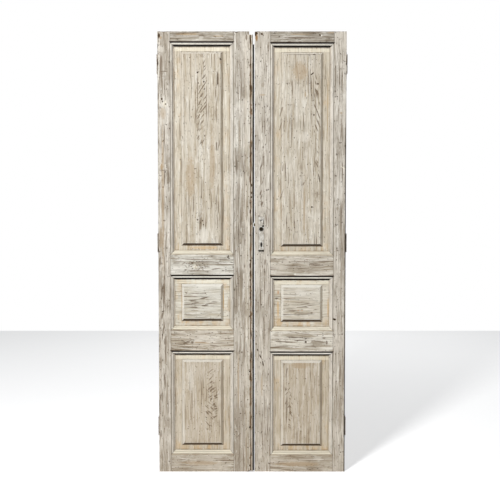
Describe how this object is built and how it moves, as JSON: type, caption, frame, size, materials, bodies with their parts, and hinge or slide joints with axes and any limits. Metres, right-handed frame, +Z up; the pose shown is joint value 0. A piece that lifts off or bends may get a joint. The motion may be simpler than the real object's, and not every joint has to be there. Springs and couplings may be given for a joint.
{
  "type": "french doors",
  "caption": "Pair of tall panelled double doors with raised panels, a cover strip, a mortise lock, flush bolts and butt hinges.",
  "frame": {"origin": "middle of the pair at the foot of the leaves, halfway through their depth", "axes": "+X across the pair from the left leaf to the right as seen from the front, +Y from the front to the back, towards which the leaves open, +Z up"},
  "size_m": [1.035, 0.0695, 2.4],
  "materials": {
    "stile_paint": "old limewashed paint, worn along the grain",
    "rail_paint": "old limewashed paint, worn along the grain",
    "panel_paint": "old limewashed paint with fine cracks",
    "strip_paint": "old limewashed paint, chipped to bare wood along its groove",
    "raw_wood": "bare aged wood",
    "painted_plate": "painted over with the door",
    "hinge_iron": "darkened, with traces of paint",
    "lock_steel": "dull, lightly rusted",
    "case_steel": "dull and oiled",
    "old_brass": "dulled",
    "nail_iron": "dark, painted over in part"
  },
  "bodies": {
    "jamb_hinges": {"left_bottom_jamb_plate": "hinge_iron", "left_middle_jamb_plate": "hinge_iron", "left_top_jamb_plate": "hinge_iron", "right_bottom_jamb_plate": "hinge_iron", "right_middle_jamb_plate": "hinge_iron", "right_top_jamb_plate": "hinge_iron", "left_hinge_pins": "hinge_iron", "right_hinge_pins": "hinge_iron"},
    "left_leaf": {"left_hinge_stile": "stile_paint", "left_meeting_stile": "stile_paint", "left_bottom_rail": "rail_paint", "left_lower_rail": "rail_paint", "left_lock_rail": "rail_paint", "left_top_rail": "rail_paint", "left_bottom_panel": "panel_paint", "left_middle_panel": "panel_paint", "left_top_panel": "panel_paint", "left_wedges": "raw_wood", "cover_strip": "strip_paint", "cover_strip_nails": "nail_iron", "strike_plate": "lock_steel", "strike_screws": "lock_steel", "left_bottom_leaf_plate": "hinge_iron", "left_middle_leaf_plate": "hinge_iron", "left_top_leaf_plate": "hinge_iron", "left_hinge_screws": "hinge_iron", "top_flush_plate": "lock_steel", "bottom_flush_plate": "lock_steel", "flush_plate_screws": "lock_steel"},
    "right_leaf": {"right_hinge_stile": "stile_paint", "right_meeting_stile": "stile_paint", "right_bottom_rail": "rail_paint", "right_lower_rail": "rail_paint", "right_lock_rail": "rail_paint", "right_top_rail": "rail_paint", "right_bottom_panel": "panel_paint", "right_middle_panel": "panel_paint", "right_top_panel": "panel_paint", "right_wedges": "raw_wood", "right_bottom_leaf_plate": "hinge_iron", "right_middle_leaf_plate": "hinge_iron", "right_top_leaf_plate": "hinge_iron", "right_hinge_screws": "hinge_iron", "front_lock_plate": "painted_plate", "back_lock_plate": "painted_plate", "lock_plate_screws": "painted_plate", "forend": "lock_steel", "forend_screws": "lock_steel", "lock_case": "case_steel", "lock_cap": "case_steel", "lock_cap_screw": "case_steel", "latch_spring": "case_steel", "dead_bolt_spring": "case_steel"},
    "follower": {"follower": "old_brass"},
    "latch": {"latch_bolt": "old_brass"},
    "dead_bolt": {"dead_bolt": "old_brass"},
    "top_flush_bolt": {"top_flush_bolt": "lock_steel"},
    "bottom_flush_bolt": {"bottom_flush_bolt": "lock_steel"}
  },
  "joints": [
    {"name": "left_leaf_swing", "type": "hinge", "parent": "jamb_hinges", "child": "left_leaf", "pos_m": [-0.5115, 0.0285, 0], "axis": [0, 0, 1], "range_deg": [0, 170]},
    {"name": "right_leaf_swing", "type": "hinge", "parent": "jamb_hinges", "child": "right_leaf", "pos_m": [0.5115, 0.0285, 0], "axis": [0, 0, -1], "range_deg": [0, 170]},
    {"name": "follower_turn", "type": "hinge", "parent": "right_leaf", "child": "follower", "pos_m": [0.0505, 0, 1.337], "axis": [0, 1, 0], "range_deg": [0, 14.5]},
    {"name": "latch_slide", "type": "slide", "parent": "right_leaf", "child": "latch", "axis": [1, 0, 0], "range_m": [0, 0.0055], "stiffness_N_per_m": 400, "springref_m": -0.006, "deforming": ["latch_spring"]},
    {"name": "dead_bolt_slide", "type": "slide", "parent": "right_leaf", "child": "dead_bolt", "axis": [-1, 0, 0], "range_m": [0, 0.014]},
    {"name": "top_flush_bolt_slide", "type": "slide", "parent": "left_leaf", "child": "top_flush_bolt", "axis": [0, 0, 1], "range_m": [0, 0.018]},
    {"name": "bottom_flush_bolt_slide", "type": "slide", "parent": "left_leaf", "child": "bottom_flush_bolt", "axis": [0, 0, -1], "range_m": [0, 0.018]}
  ],
  "couplings": [
    {"joint": "follower_turn", "follows": "latch_slide", "rad_per_m": 45.455}
  ]
}
